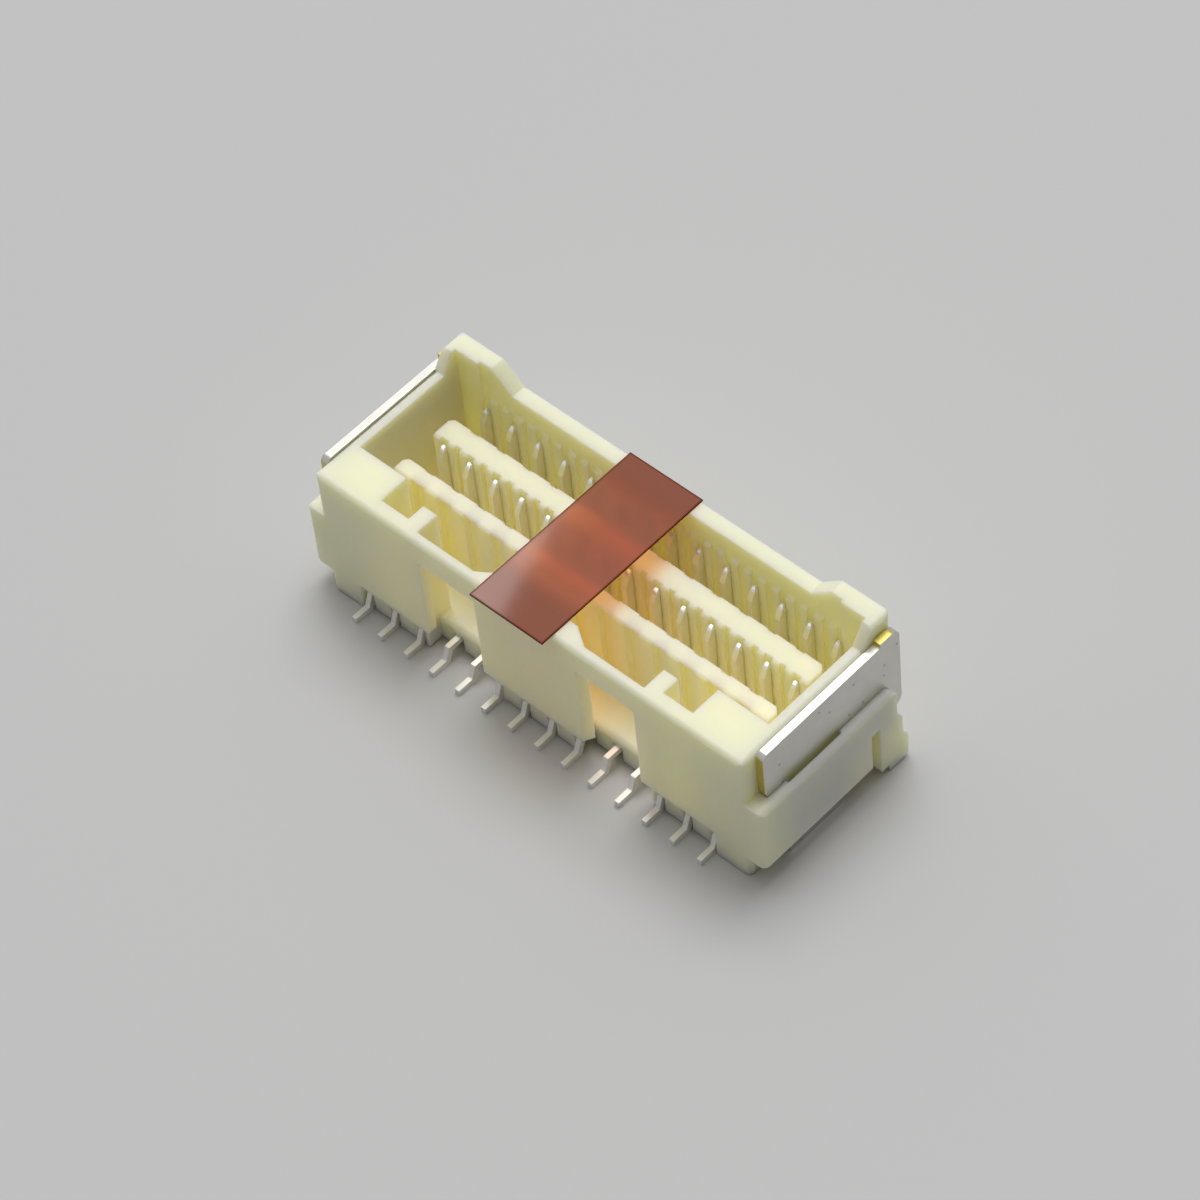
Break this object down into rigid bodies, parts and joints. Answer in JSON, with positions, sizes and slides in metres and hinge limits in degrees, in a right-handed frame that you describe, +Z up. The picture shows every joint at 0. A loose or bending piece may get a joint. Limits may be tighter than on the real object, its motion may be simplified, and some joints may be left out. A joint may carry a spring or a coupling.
{
  "type": "wafer connector",
  "caption": "Board-mount wafer connector: shrouded ivory housing with lock windows, rows of blade contacts with surface-mount tails, end solder nails and a pick-up film.",
  "frame": {"origin": "on the board, under the middle of the housing", "axes": "+X along the rows of contacts, +Y from the front wall with the lock windows to the back wall, +Z up from the board, the way the plug leaves"},
  "size_m": [0.0168, 0.007, 0.0057],
  "materials": {
    "housing": "natural ivory moulding, slightly translucent, satin",
    "contact": "tin plate over copper alloy, satin",
    "nail": "tin plate over copper alloy, satin with small pits",
    "film": "amber translucent film, glossy"
  },
  "bodies": {
    "root": {"housing": "housing", "terminal_front_01": "contact", "terminal_front_02": "contact", "terminal_front_03": "contact", "terminal_front_04": "contact", "terminal_front_05": "contact", "terminal_front_06": "contact", "terminal_front_07": "contact", "terminal_front_08": "contact", "terminal_front_09": "contact", "terminal_front_10": "contact", "terminal_front_11": "contact", "terminal_front_12": "contact", "terminal_front_13": "contact", "terminal_front_14": "contact", "terminal_back_01": "contact", "terminal_back_02": "contact", "terminal_back_03": "contact", "terminal_back_04": "contact", "terminal_back_05": "contact", "terminal_back_06": "contact", "terminal_back_07": "contact", "terminal_back_08": "contact", "terminal_back_09": "contact", "terminal_back_10": "contact", "terminal_back_11": "contact", "terminal_back_12": "contact", "terminal_back_13": "contact", "terminal_back_14": "contact", "solder_nail_left": "nail", "solder_nail_right": "nail", "pickup_film": "film"}
  },
  "joints": []
}
